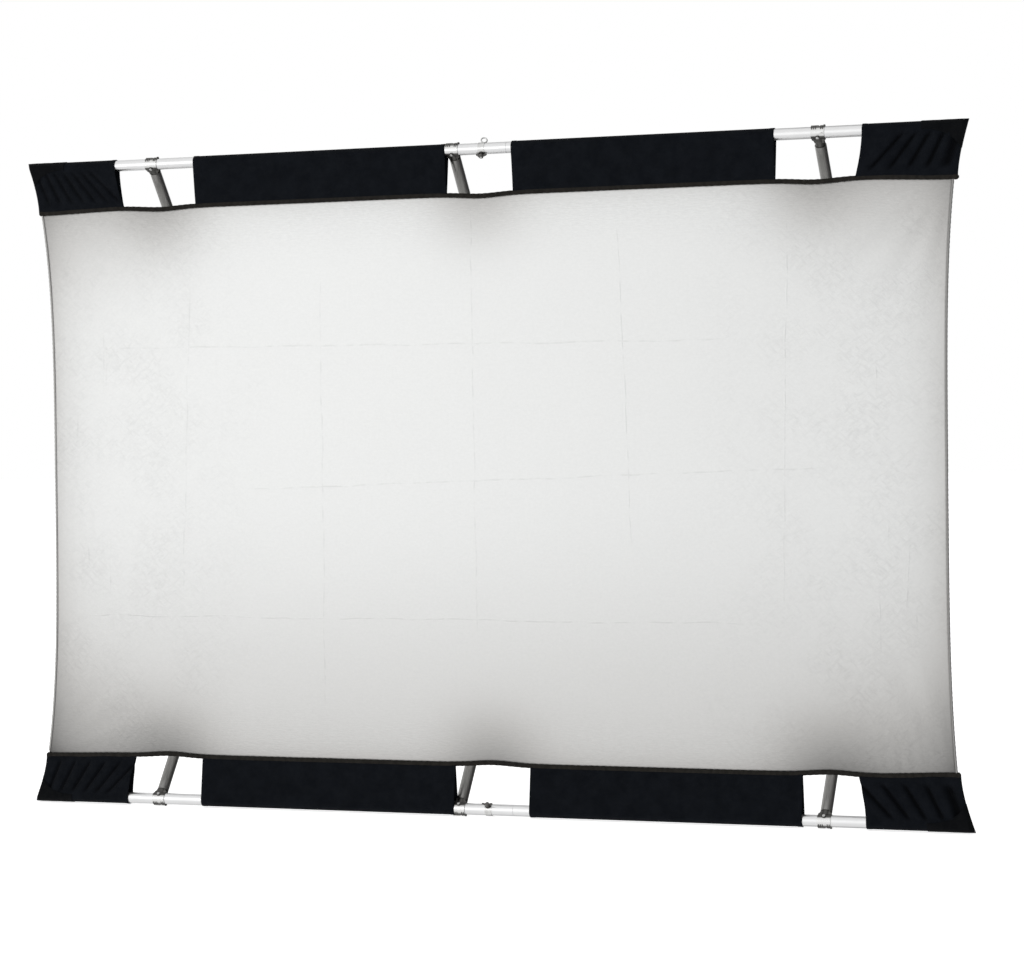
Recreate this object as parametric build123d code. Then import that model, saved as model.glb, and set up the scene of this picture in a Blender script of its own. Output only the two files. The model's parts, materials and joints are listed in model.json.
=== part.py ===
from build123d import *
import os
from math import cos, radians, sin

# A take-down reflector panel: two long tube rails joined by three bent crossbars, and an elastic silver
# screen stretched between the rails. All sizes are in millimetres.
# X runs along the rails, Y points away from the silver side, and Z is up.
# The origin is the middle of the bottom of the whole panel's box.

# Tubes and fits
TUBE_R = 11.0
TUBE_BORE_R = 9.5
RUN_GAP = 0.05  # radial gap of every sliding or turning metal fit
FACE_GAP = 0.05  # gap between two parts that bear on each other

# Rails
RAIL_SPACING = 1270.0  # between the axes of the two rails
RAIL_END_X = 944.0
RAIL_JOINT_X = 72.0  # where the left and right halves of each rail meet
RAIL_SEAM = 0.5  # left open between the halves
SPIGOT_LENGTH = 200.0
SPIGOT_BORE_R = 8.0
CAP_HEAD = 3.0
CAP_PLUG_LENGTH = 15.0
CAP_PLUG_R = 9.4

# Tee fittings, which carry the crossbars on the rails
TEE_XS = {"left": -678.5, "middle": -38.5, "right": 679.0}
TEE_R = 12.4
TEE_LENGTH = 25.5
NECK_ANGLE = 39.0  # degrees from the panel's plane, backward
NECK_R = TUBE_BORE_R - RUN_GAP
PLUG_END = 54.0
PLUG_BORE_R = 6.0
PLUG_BORE_START = 24.0
GUSSET_START = 12.0
GUSSET_END = 18.3
GUSSET_HALF_THICKNESS = 7.5
RIB_WIDTH = 8.0
RIB_HEIGHT = 0.6
RIB_GAP_START = 1.0
RIB_GAP_END = 4.5
SPUR_LENGTH = 2.5
SPUR_HEIGHT = 2.0
GROOVE_XS = (-10.0, -6.4, -2.8, 6.6, 10.2)  # from the middle of the sleeve
GROOVE_WIDTH = 2.0
GROOVE_DEPTH = 0.7
GROOVE_SPAN = (22.0, 96.0)  # degrees from straight forward, away from the neck
SCREW_ANGLE = 50.0  # degrees from straight forward, towards the neck
SCREW_BOSS_R = 4.2
SCREW_BOSS_END = 13.6
SCREW_HEAD_R = 2.8
SCREW_HEAD_HEIGHT = 2.0
SCREW_R = 1.95
SCREW_HOLE_R = SCREW_R + RUN_GAP
SCREW_SLOT = 0.8

# Crossbars
BAR_SETBACK = 100.0  # the straight middle of a crossbar lies this far behind the rails
BAR_BEND_R = 120.0
BAR_END = 18.5  # from the bottom rail's axis, along the neck, to the end of a crossbar
BAR_TOP_ENDS = {"left": 18.5, "middle": 18.5, "right": 27.0}  # the right one is cut a little short

# Bolts through the middle of each rail, which hold the spigots
BOLT_X = 22.0
TOP_BOLT_TILT = -30.0  # degrees from upright about X: its eye leans backward and its nut comes forward
BOTTOM_BOLT_TILT = 48.0  # its nut leans forward
BOLT_R = 2.45
BOLT_HOLE_R = BOLT_R + RUN_GAP
STRAP_WIDTH = 13.0
STRAP_THICKNESS = 0.8
STRAP_HALF_SPAN = 125.0  # degrees each side of straight forward
WASHER_R = 5.5
WASHER_THICKNESS = 1.2
NUT_HUB_R = 4.6
NUT_TOP_R = 3.9
NUT_HEIGHT = 7.0
WING_ROOT_R = 2.6
WING_ROOT = (3.2, 3.4)
WING_TIP_R = 2.0
WING_TIP = (8.8, 6.1)
WING_THICKNESS = 2.0
EYE_RING_R = 5.6
EYE_WIRE_R = 1.4
EYE_FLANGE_R = 3.8
EYE_FLANGE_HEIGHT = 1.2
EYE_SHANK_BELOW = 20.6
EYE_TURN = 20.0
BOLT_HEAD_R = 5.0
BOLT_HEAD_HEIGHT = 2.2
BOLT_HEAD_ROUND = 1.2

# Cover: screen, trims and hems lie in the rails' plane
SCREEN_THICKNESS = 1.0
SCREEN_HALF_HEIGHT = 544.5
SIDE_WAIST_X = 910.0
SIDE_CORNER_X = 930.0
SIDE_CURVE_POWER = 3.7
SIDE_CURVE_STEPS = 12
HEM_WIDTH = 4.0
HEM_THICKNESS = 2.0
SOFT_GAP = 0.3
TRIM_INNER = 545.0
TRIM_OUTER = 553.5
TRIM_THICKNESS = 3.0
TRIM_END_X = 935.0

# Cover: sleeves, which run from the rail to the trim
SEAM_DROP = 78.5  # from the rail's axis to the sewn edge of a sleeve
SLEEVE_R = 12.2
SLEEVE_SEAM_R = 1.6
SLEEVE_CLOTH = 0.8
PATCH_START_X = 871.0
PATCH_CLOTH = 0.6
PATCH_GAP = 0.1
SIDE_EDGE = (952.5, 934.0)  # outer end of a corner sleeve, at the rail and at the trim
# The ends of the sleeves, from left to right: each pair is the end's X at the rail and at the trim.
TOP_ENDS = (
    (-760.5, -744.0),
    (-584.5, -582.5),
    (-52.5, -56.0),
    (83.0, 83.0),
    (596.0, 591.0),
    (762.5, 748.0),
)
BOTTOM_ENDS = (
    (-744.5, -731.0),
    (-583.0, -580.0),
    (-52.6, -47.0),
    (106.5, 106.0),
    (638.0, 636.5),
    (758.0, 744.0),
)

# Places that follow from the sizes above
FRONT_REACH = 17.584  # from the rails' axes to the front of the bottom wing nut
RAIL_Y = (FRONT_REACH - BAR_SETBACK - TUBE_R) / 2
BOTTOM_RAIL_Z = TEE_R + SPUR_HEIGHT
TOP_RAIL_Z = BOTTOM_RAIL_Z + RAIL_SPACING
MIDDLE_Z = (BOTTOM_RAIL_Z + TOP_RAIL_Z) / 2
RAILS = {"top": TOP_RAIL_Z, "bottom": BOTTOM_RAIL_Z}
INWARD = {"top": -1, "bottom": 1}  # the way from each rail to the panel's middle
STRAP_OUTER_R = TUBE_R + FACE_GAP + STRAP_THICKNESS
FROM_BASE = (Align.CENTER, Align.CENTER, Align.MIN)


def rod(radius, x_start, x_end, rail_z):
    """A round bar along X on a rail's axis."""
    bar = Cylinder(radius, x_end - x_start, align=FROM_BASE)
    return Pos(x_start, RAIL_Y, rail_z) * Rot(0, 90, 0) * bar


def post(radius, z_start, z_end):
    """A round bar along Z on the local axis."""
    return Pos(0, 0, z_start) * Cylinder(radius, z_end - z_start, align=FROM_BASE)


def at_bolt(rail):
    """Where a rail's axis crosses its bolt's axis, with Z along the bolt."""
    tilt = TOP_BOLT_TILT if rail == "top" else BOTTOM_BOLT_TILT
    return Pos(BOLT_X, RAIL_Y, RAILS[rail]) * Rot(tilt, 0, 0)


# Rails


def rail_left(rail):
    tube = rod(TUBE_R, -RAIL_END_X, RAIL_JOINT_X, RAILS[rail])
    tube -= rod(TUBE_BORE_R, -RAIL_END_X, RAIL_JOINT_X, RAILS[rail])
    return tube - at_bolt(rail) * Cylinder(BOLT_HOLE_R, 4 * TUBE_R)


def rail_right(rail):
    start = RAIL_JOINT_X + RAIL_SEAM
    return rod(TUBE_R, start, RAIL_END_X, RAILS[rail]) - rod(TUBE_BORE_R, start, RAIL_END_X, RAILS[rail])


def spigot(rail):
    start = RAIL_JOINT_X - SPIGOT_LENGTH / 2
    end = RAIL_JOINT_X + SPIGOT_LENGTH / 2
    tube = rod(TUBE_BORE_R - RUN_GAP, start, end, RAILS[rail]) - rod(SPIGOT_BORE_R, start, end, RAILS[rail])
    return tube - at_bolt(rail) * Cylinder(BOLT_HOLE_R, 4 * TUBE_R)


def end_cap(side, rail_z):
    """A plug in a rail's end: its head covers the tube's rim. side is -1 on the left and 1 on the right."""
    head = rod(TUBE_R, RAIL_END_X + FACE_GAP, RAIL_END_X + CAP_HEAD, rail_z)
    head = fillet(head.faces().sort_by(Axis.X)[-1].edges(), CAP_HEAD / 2)
    plug = rod(CAP_PLUG_R, RAIL_END_X - CAP_PLUG_LENGTH, RAIL_END_X + CAP_HEAD / 2, rail_z)
    cap = head + plug
    return cap if side > 0 else mirror(cap, about=Plane.YZ)


# Tee fittings. Each is built for the top rail, with the rail's axis at the origin, and mirrored for
# the bottom rail.

LEAN = Vector(0, sin(radians(NECK_ANGLE)), -cos(radians(NECK_ANGLE)))
NECK_PLANE = Plane(origin=(0, 0, 0), x_dir=(1, 0, 0), z_dir=LEAN)
GUSSET_PLANE = Plane(origin=(0, 0, 0), x_dir=(1, 0, 0), z_dir=Vector(1, 0, 0).cross(LEAN))
SCREW_DIRECTION = Vector(0, -cos(radians(SCREW_ANGLE)), -sin(radians(SCREW_ANGLE)))
SCREW_PLANE = Plane(origin=(0, 0, 0), x_dir=(1, 0, 0), z_dir=SCREW_DIRECTION)


def gusset():
    """The web that flares the neck out to the sleeve's full length."""
    half = TEE_LENGTH / 2
    neck = NECK_R - 0.5
    waist = (neck + 0.3 * (half - neck), GUSSET_START + 0.3 * (GUSSET_END - GUSSET_START))
    outline = Polyline((neck, GUSSET_END), (-neck, GUSSET_END))
    outline += ThreePointArc((-neck, GUSSET_END), (-waist[0], waist[1]), (-half, GUSSET_START))
    outline += Polyline((-half, GUSSET_START), (-half, 0), (half, 0), (half, GUSSET_START))
    outline += ThreePointArc((half, GUSSET_START), waist, (neck, GUSSET_END))
    return extrude(GUSSET_PLANE * make_face(outline), GUSSET_HALF_THICKNESS, both=True)


def outer_rib():
    """A cast rib with a gap along the outside of the sleeve, and a small spur at its right end."""
    half = TEE_LENGTH / 2
    height = TEE_R + RIB_HEIGHT
    to_right = (Align.MIN, Align.CENTER, Align.MIN)
    to_left = (Align.MAX, Align.CENTER, Align.MIN)
    rib = Pos(-half, 0, 0) * Box(half + RIB_GAP_START, RIB_WIDTH, height, align=to_right)
    rest = Box(half - RIB_GAP_END, RIB_WIDTH, height, align=to_right)
    spur = Box(SPUR_LENGTH, RIB_WIDTH / 2, TEE_R + SPUR_HEIGHT, align=to_left)
    return rib + Pos(RIB_GAP_END, 0, 0) * rest + Pos(half, 0, 0) * spur


def outer_groove(x):
    """One of the grooves cast into the front of the sleeve, on its outer side."""
    low, high = (radians(angle) for angle in GROOVE_SPAN)
    reach = 2 * TEE_R
    start = (-reach * cos(low), reach * sin(low))
    end = (-reach * cos(high), reach * sin(high))
    wedge = Polyline((0, 0), start, end, close=True)
    sector = Pos(x - GROOVE_WIDTH / 2, 0, 0) * extrude(Plane.YZ * make_face(wedge), GROOVE_WIDTH)
    return sector - Rot(0, 90, 0) * Cylinder(TEE_R - GROOVE_DEPTH, 2 * TEE_LENGTH)


def tee_at_origin():
    sleeve = Rot(0, 90, 0) * Cylinder(TEE_R, TEE_LENGTH)
    for x in GROOVE_XS:
        sleeve -= outer_groove(x)
    neck = NECK_PLANE * post(NECK_R, 0, PLUG_END)
    boss = SCREW_PLANE * post(SCREW_BOSS_R, 0, SCREW_BOSS_END)
    body = sleeve + neck + boss + gusset() + outer_rib()
    body -= Rot(0, 90, 0) * Cylinder(TUBE_R + RUN_GAP, 2 * TEE_LENGTH)
    body -= NECK_PLANE * post(PLUG_BORE_R, PLUG_BORE_START, PLUG_END)
    return body - SCREW_PLANE * post(SCREW_HOLE_R, 0, 2 * TEE_R)


def tee_screw_at_origin():
    head_start = SCREW_BOSS_END + FACE_GAP
    head_end = head_start + SCREW_HEAD_HEIGHT
    head = post(SCREW_HEAD_R, head_start, head_end)
    head = fillet(head.edges().sort_by(Axis.Z)[-1], SCREW_HEAD_HEIGHT / 3)
    head -= Pos(0, 0, head_end) * Box(SCREW_SLOT, 3 * SCREW_HEAD_R, SCREW_SLOT)
    return SCREW_PLANE * (head + post(SCREW_R, TUBE_R + RUN_GAP, head_start + 0.5))


def on_rail(shape, x, rail):
    """Places a shape built for the top rail on either rail."""
    turned = shape if rail == "top" else mirror(shape, about=Plane.XY)
    return Pos(x, RAIL_Y, RAILS[rail]) * turned


def crossbar(x, top_end):
    """A tube pushed over the top and bottom necks, bent twice so that its middle clears the screen."""
    lean_up = Vector(LEAN.X, LEAN.Y, -LEAN.Z)
    top = Vector(x, RAIL_Y, TOP_RAIL_Z)
    bottom = Vector(x, RAIL_Y, BOTTOM_RAIL_Z)
    to_corner = BAR_SETBACK / sin(radians(NECK_ANGLE))
    start = top + LEAN * top_end
    end = bottom + lean_up * BAR_END
    path = FilletPolyline(start, top + LEAN * to_corner, bottom + lean_up * to_corner, end, radius=BAR_BEND_R)
    section = Plane(origin=start, x_dir=(1, 0, 0), z_dir=LEAN) * (Circle(TUBE_R) - Circle(TUBE_BORE_R))
    return sweep(section, path=path)


# Bolts, straps, washers and wing nuts. Each is built with the rail's axis at the origin.


def strap_at_origin():
    """A thin band round the front of the rail, pierced above and below by the bolt."""
    reach = 3 * TUBE_R
    band = Cylinder(STRAP_OUTER_R, STRAP_WIDTH) - Cylinder(TUBE_R + FACE_GAP, STRAP_WIDTH)
    half_back = 180 - STRAP_HALF_SPAN
    spread = (reach * sin(radians(half_back)), reach * cos(radians(half_back)))
    opening = make_face(Polyline((0, 0), (spread[1], spread[0]), (spread[1], -spread[0]), (0, 0)))
    band -= extrude(opening, STRAP_WIDTH, both=True)
    band = Rot(0, 90, 0) * Rot(0, 0, 90) * band
    return band - Cylinder(BOLT_HOLE_R, 4 * TUBE_R)


def eye_bolt_at_origin():
    flange_top = STRAP_OUTER_R + FACE_GAP + EYE_FLANGE_HEIGHT
    ring_z = flange_top + EYE_RING_R + EYE_WIRE_R / 2
    ring = Pos(0, 0, ring_z) * Rot(90, 0, 0) * Torus(EYE_RING_R, EYE_WIRE_R)
    flange = post(EYE_FLANGE_R, STRAP_OUTER_R + FACE_GAP, flange_top)
    shank = post(BOLT_R, -EYE_SHANK_BELOW, flange_top)
    return Rot(0, 0, EYE_TURN) * (ring + flange + shank)


def round_bolt_at_origin():
    """The bottom rail's bolt: a low round head outside and its end flush with the nut inside."""
    head_top = -STRAP_OUTER_R - FACE_GAP
    head = post(BOLT_HEAD_R, head_top - BOLT_HEAD_HEIGHT, head_top)
    head = fillet(head.edges().sort_by(Axis.Z)[0], BOLT_HEAD_ROUND)
    return head + post(BOLT_R, head_top - FACE_GAP, STRAP_OUTER_R + WASHER_THICKNESS + NUT_HEIGHT)


def washer_at_origin():
    """Lies on the strap's crown, on the +Z side."""
    start = STRAP_OUTER_R + FACE_GAP
    end = start + WASHER_THICKNESS
    return post(WASHER_R, start, end) - post(BOLT_HOLE_R, start, end)


def wing_nut():
    """Base at the origin, hub along +Z, wings along X."""
    hub = Cone(NUT_HUB_R, NUT_TOP_R, NUT_HEIGHT, align=FROM_BASE)
    root = Pos(*WING_ROOT) * Circle(WING_ROOT_R)
    tip = Pos(*WING_TIP) * Circle(WING_TIP_R)
    outline = make_hull(root.edges() + tip.edges())
    wing = extrude(Plane.XZ * outline, WING_THICKNESS / 2, both=True)
    nut = hub + wing + mirror(wing, about=Plane.YZ)
    return nut - Cylinder(BOLT_HOLE_R, 4 * NUT_HEIGHT)


NUT_BASE = STRAP_OUTER_R + WASHER_THICKNESS + 2 * FACE_GAP


# Cover. The screen's sides curve in, and the sleeves are teardrop tubes from the rail to the trim.


def side_x(height):
    """Half the cover's width at a height above or below the panel's middle."""
    share = (abs(height) / SCREEN_HALF_HEIGHT) ** SIDE_CURVE_POWER
    return SIDE_WAIST_X + (SIDE_CORNER_X - SIDE_WAIST_X) * share


def side_curve(inset, sign):
    """The right (sign 1) or left (sign -1) edge of the screen, moved in by inset, from bottom to top."""
    points = []
    for step in range(SIDE_CURVE_STEPS + 1):
        height = SCREEN_HALF_HEIGHT * (2 * step / SIDE_CURVE_STEPS - 1)
        points.append((sign * (side_x(height) - inset), height))
    return Spline(*points)


def sheet(outline, thickness):
    """A flat piece of cloth in the rails' plane, from an outline in X and height."""
    flat = extrude(Plane.XZ * make_face(outline), thickness / 2, both=True)
    return Pos(0, RAIL_Y, MIDDLE_Z) * flat


def screen():
    right = side_curve(HEM_WIDTH + SOFT_GAP, 1)
    left = side_curve(HEM_WIDTH + SOFT_GAP, -1)
    outline = right + left + Line(right @ 0, left @ 0) + Line(right @ 1, left @ 1)
    return sheet(outline, SCREEN_THICKNESS)


def hem(sign):
    outer = side_curve(0, sign)
    inner = side_curve(HEM_WIDTH, sign)
    outline = outer + inner + Line(outer @ 0, inner @ 0) + Line(outer @ 1, inner @ 1)
    return sheet(outline, HEM_THICKNESS)


def trim(rail):
    height = TRIM_OUTER - TRIM_INNER
    outline = RectangleRounded(2 * TRIM_END_X, height, height / 3)
    band = extrude(Plane.XZ * outline, TRIM_THICKNESS / 2, both=True)
    middle = (TRIM_OUTER + TRIM_INNER) / 2
    return Pos(0, RAIL_Y, MIDDLE_Z - INWARD[rail] * middle) * band


def teardrop(rail_radius, seam_radius, rail):
    """A solid bar over the panel's whole width, round at the rail and narrow at the seam."""
    rail_circle = Pos(RAIL_Y, RAILS[rail]) * Circle(rail_radius)
    seam_circle = Pos(RAIL_Y, RAILS[rail] + INWARD[rail] * SEAM_DROP) * Circle(seam_radius)
    outline = make_hull(rail_circle.edges() + seam_circle.edges())
    return extrude(Plane.YZ * outline, 2 * RAIL_END_X, both=True)


def between(left, right, rail):
    """Everything between two slanted ends, each given as its X at the rail and at the trim."""

    def end_point(end, share):
        return (end[0] + share * (end[1] - end[0]), RAILS[rail] + share * INWARD[rail] * SEAM_DROP)

    beyond = (-0.5, 1.5)
    corners = [end_point(left, beyond[0]), end_point(right, beyond[0])]
    corners += [end_point(right, beyond[1]), end_point(left, beyond[1])]
    return extrude(Plane.XZ * make_face(Polyline(*corners, close=True)), 3 * RAIL_SPACING / 2, both=True)


def moved(end, shift):
    return (end[0] + shift, end[1] + shift)


def long_sleeve(rail, left, right):
    cloth = teardrop(SLEEVE_R, SLEEVE_SEAM_R, rail)
    cloth -= teardrop(SLEEVE_R - SLEEVE_CLOTH, SLEEVE_SEAM_R - SLEEVE_CLOTH, rail)
    return cloth & between(left, right, rail)


def pocket(rail, side, opening, radius, seam_radius, cloth, inset):
    """A sleeve closed at its outer end, which is moved in by inset. side is -1 left and 1 right."""
    outer_end = moved((side * SIDE_EDGE[0], side * SIDE_EDGE[1]), -side * inset)
    inner_end = moved(outer_end, -side * cloth)
    through = moved(opening, -side * TEE_LENGTH)
    outside = teardrop(radius, seam_radius, rail)
    inside = teardrop(radius - cloth, seam_radius - cloth, rail)
    if side > 0:
        return (outside & between(opening, outer_end, rail)) - (inside & between(through, inner_end, rail))
    return (outside & between(outer_end, opening, rail)) - (inside & between(inner_end, through, rail))


def corner_sleeve(rail, side, opening):
    return pocket(rail, side, opening, SLEEVE_R, SLEEVE_SEAM_R, SLEEVE_CLOTH, PATCH_CLOTH + PATCH_GAP)


def corner_patch(rail, side):
    """A second layer sewn over the tip of a corner sleeve."""
    start = (side * PATCH_START_X, side * PATCH_START_X)
    grow = PATCH_GAP + PATCH_CLOTH
    return pocket(rail, side, start, SLEEVE_R + grow, SLEEVE_SEAM_R + grow, PATCH_CLOTH, 0)


def cover_parts():
    parts = {
        "silver_screen": screen(),
        "left_hem": hem(-1),
        "right_hem": hem(1),
    }
    for rail, ends in (("top", TOP_ENDS), ("bottom", BOTTOM_ENDS)):
        parts[f"{rail}_trim"] = trim(rail)
        parts[f"{rail}_left_corner_sleeve"] = corner_sleeve(rail, -1, ends[0])
        parts[f"{rail}_left_sleeve"] = long_sleeve(rail, ends[1], ends[2])
        parts[f"{rail}_right_sleeve"] = long_sleeve(rail, ends[3], ends[4])
        parts[f"{rail}_right_corner_sleeve"] = corner_sleeve(rail, 1, ends[5])
        parts[f"{rail}_left_corner_patch"] = corner_patch(rail, -1)
        parts[f"{rail}_right_corner_patch"] = corner_patch(rail, 1)
    return parts


def rail_parts():
    parts = {}
    for rail in RAILS:
        parts[f"{rail}_rail_left"] = rail_left(rail)
        parts[f"{rail}_rail_right"] = rail_right(rail)
        parts[f"{rail}_rail_spigot"] = spigot(rail)
    parts["left_end_caps"] = Compound([end_cap(-1, rail_z) for rail_z in RAILS.values()])
    parts["right_end_caps"] = Compound([end_cap(1, rail_z) for rail_z in RAILS.values()])
    return parts


def crossbar_parts():
    parts = {}
    tee = tee_at_origin()
    screw = tee_screw_at_origin()
    for place, x in TEE_XS.items():
        parts[f"{place}_crossbar"] = crossbar(x, BAR_TOP_ENDS[place])
        parts[f"top_{place}_tee"] = on_rail(tee, x, "top")
        parts[f"bottom_{place}_tee"] = on_rail(tee, x, "bottom")
        parts[f"{place}_tee_screws"] = Compound([on_rail(screw, x, rail) for rail in RAILS])
    return parts


def bolt_parts():
    top = at_bolt("top")
    bottom = at_bolt("bottom")
    return {
        "top_strap": top * strap_at_origin(),
        "top_eye_bolt": top * eye_bolt_at_origin(),
        "top_washer": top * mirror(washer_at_origin(), about=Plane.XY),
        "top_wing_nut": top * Pos(0, 0, -NUT_BASE - NUT_HEIGHT) * wing_nut(),
        "bottom_strap": bottom * strap_at_origin(),
        "bottom_bolt": bottom * round_bolt_at_origin(),
        "bottom_washer": bottom * washer_at_origin(),
        "bottom_wing_nut": bottom * Pos(0, 0, NUT_BASE) * wing_nut(),
    }


os.makedirs("parts", exist_ok=True)
for node, shape in {**rail_parts(), **crossbar_parts(), **bolt_parts(), **cover_parts()}.items():
    export_step(shape, f"parts/{node}.step")
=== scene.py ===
import json
import math

import bpy
import numpy as np
from mathutils import Matrix, Vector


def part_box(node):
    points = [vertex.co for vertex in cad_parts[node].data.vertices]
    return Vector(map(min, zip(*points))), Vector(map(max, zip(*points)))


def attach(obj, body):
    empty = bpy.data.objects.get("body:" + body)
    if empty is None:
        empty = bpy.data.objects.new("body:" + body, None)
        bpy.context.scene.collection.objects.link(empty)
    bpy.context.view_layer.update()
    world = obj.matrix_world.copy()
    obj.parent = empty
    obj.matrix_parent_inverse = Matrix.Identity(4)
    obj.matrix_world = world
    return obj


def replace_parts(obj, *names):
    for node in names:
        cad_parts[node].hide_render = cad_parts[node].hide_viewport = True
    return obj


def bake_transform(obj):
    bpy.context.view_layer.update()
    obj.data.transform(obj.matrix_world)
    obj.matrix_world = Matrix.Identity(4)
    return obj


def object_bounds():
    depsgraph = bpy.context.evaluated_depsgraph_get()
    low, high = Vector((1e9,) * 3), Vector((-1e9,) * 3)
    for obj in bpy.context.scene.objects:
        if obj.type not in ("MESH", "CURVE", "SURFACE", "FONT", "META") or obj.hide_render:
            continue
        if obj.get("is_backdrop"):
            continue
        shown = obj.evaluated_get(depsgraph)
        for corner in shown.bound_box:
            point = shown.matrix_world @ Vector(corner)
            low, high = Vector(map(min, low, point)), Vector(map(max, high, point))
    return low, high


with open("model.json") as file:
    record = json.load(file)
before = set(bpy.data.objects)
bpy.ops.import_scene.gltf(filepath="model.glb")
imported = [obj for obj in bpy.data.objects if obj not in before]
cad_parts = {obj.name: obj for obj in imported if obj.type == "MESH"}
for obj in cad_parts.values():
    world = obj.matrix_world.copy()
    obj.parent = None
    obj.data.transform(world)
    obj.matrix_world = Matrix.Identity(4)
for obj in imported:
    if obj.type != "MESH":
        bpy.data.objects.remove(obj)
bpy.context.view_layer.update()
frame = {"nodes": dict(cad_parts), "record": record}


# Places. The panel's own coordinates are x along the rails, h up from the panel's middle and
# d backward from the plane of the rails, all in metres.


def node_middle(node):
    low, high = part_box(node)
    return (low + high) / 2


TOP = node_middle("top_rail_left")
BOTTOM = node_middle("bottom_rail_left")
RAIL_Y = TOP.y
MIDDLE_Z = (TOP.z + BOTTOM.z) / 2
RAIL_H = (TOP.z - BOTTOM.z) / 2
RAIL_R = (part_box("top_rail_left")[1].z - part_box("top_rail_left")[0].z) / 2
TEE_R = RAIL_R + 0.0014

CLOTH = 0.0006
SLEEVE_R = RAIL_R + 0.0008
SEAM_R = 0.0012
TRIM_WIDTH = 0.0085
TRIM_THICKNESS = 0.0032
TRIM_ENDS = {"top": (-0.9345, 0.938), "bottom": (-0.933, 0.932)}

# The silver sheet's half width at mid height and at its corners, left and right.
WAIST = (0.906, 0.9135)
CORNERS = {"top": (0.9295, 0.9295), "bottom": (0.928, 0.9265)}
SIDE_H = 0.541
HALF_WIDTH = 0.93
SIDE_POWER = 3.7
SCREEN_DROP = 0.09  # about how far the sheet's edge lies inside a rail's axis
HEM_R = 0.0022
HEM_END_H = 0.5445
# Painted shade: how bright the rolled hems' colour is.
HEM_PAINTED_SHADE = (0.45, 0.30)  # left and right

UP = {"top": 1, "bottom": -1}

OPENING_SLANT = 0.0145  # a corner sleeve's open end lies this much further out at the rail than at the trim


def sleeve_ends(rail):
    """The sleeves' ends from left to right, as pairs: X at the rail and X at the trim."""
    left_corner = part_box(f"{rail}_left_corner_sleeve")[1].x
    right_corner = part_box(f"{rail}_right_corner_sleeve")[0].x
    middle = [corner.x for word in ("left", "right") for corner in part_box(f"{rail}_{word}_sleeve")]
    ends = [(left_corner - OPENING_SLANT, left_corner)]
    ends += [(x, x) for x in middle]
    ends += [(right_corner + OPENING_SLANT, right_corner)]
    return ends


SLEEVE_ENDS = {rail: sleeve_ends(rail) for rail in ("top", "bottom")}
OPENINGS = {
    rail: [(ends[number][1] + ends[number + 1][1]) / 2 for number in (0, 2, 4)]
    for rail, ends in SLEEVE_ENDS.items()
}

# The trims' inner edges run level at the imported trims' place, dip at each opening and drift towards
# each corner, left and right.
TRIM_H = {
    "top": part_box("top_trim")[0].z - MIDDLE_Z,
    "bottom": MIDDLE_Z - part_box("bottom_trim")[1].z,
}
TRIM_DIP = 0.004
TRIM_DIP_REACH = 0.05
TRIM_DRIFT = {"top": (-0.004, -0.006), "bottom": (0.004, -0.006)}
DRIFT_START = 0.75
# A corner sleeve's outer end, at the rail and at the trim.
SIDE_EDGES = {
    ("top", 0): (0.9530, 0.9350),
    ("top", 1): (0.9530, 0.9362),
    ("bottom", 0): (0.9525, 0.9330),
    ("bottom", 1): (0.9530, 0.9325),
}
PATCH_X = 0.871


def smooth(value, low, high):
    t = np.clip((value - low) / (high - low), 0, 1)
    return t * t * (3 - 2 * t)


def bell(value, centre, width):
    return np.exp(-(((value - centre) / width) ** 2))


def trim_edge(rail, x):
    """The trim's inner edge at x, as a distance from mid height."""
    edge = TRIM_H[rail] - TRIM_DIP * sum(bell(x, place, TRIM_DIP_REACH) for place in OPENINGS[rail])
    for drift, sign in zip(TRIM_DRIFT[rail], (-1, 1)):
        edge = edge + drift * smooth(sign * x, DRIFT_START, HALF_WIDTH)
    return edge


def side_x(h, side):
    """The distance of the silver sheet's left (side 0) or right (side 1) edge from the middle."""
    corner = np.where(h > 0, CORNERS["top"][side], CORNERS["bottom"][side])
    return WAIST[side] + (corner - WAIST[side]) * (np.abs(h) / SIDE_H) ** SIDE_POWER


def ripple(a, b, seed, size):
    """A smooth random field from a few crossing waves, about -1 to 1."""
    rng = np.random.default_rng(seed)
    total = 0
    for _ in range(7):
        angle = rng.uniform(0, math.pi)
        wave = size * rng.uniform(0.7, 1.6)
        phase = rng.uniform(0, 2 * math.pi)
        total = total + np.sin(2 * math.pi * (a * math.cos(angle) + b * math.sin(angle)) / wave + phase)
    return total / 3.5


# Mesh building


def to_world(x, d, h):
    return np.stack([x, RAIL_Y + d, MIDDLE_Z + h], axis=-1)


def grid_faces(rows, columns, wrap, offset, flip):
    i, j = np.meshgrid(np.arange(rows - 1), np.arange(columns if wrap else columns - 1), indexing="ij")
    k = (j + 1) % columns
    corners = [i * columns + j, (i + 1) * columns + j, (i + 1) * columns + k, i * columns + k]
    faces = np.stack(corners, axis=-1).reshape(-1, 4) + offset
    return faces[:, ::-1] if flip else faces


def rim_faces(loop, offset, flip):
    """Quads between a rim of the outer layer and the same rim of the inner layer."""
    faces = np.stack([loop[:-1], loop[1:], loop[1:] + offset, loop[:-1] + offset], axis=-1)
    return faces[:, ::-1] if flip else faces


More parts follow.
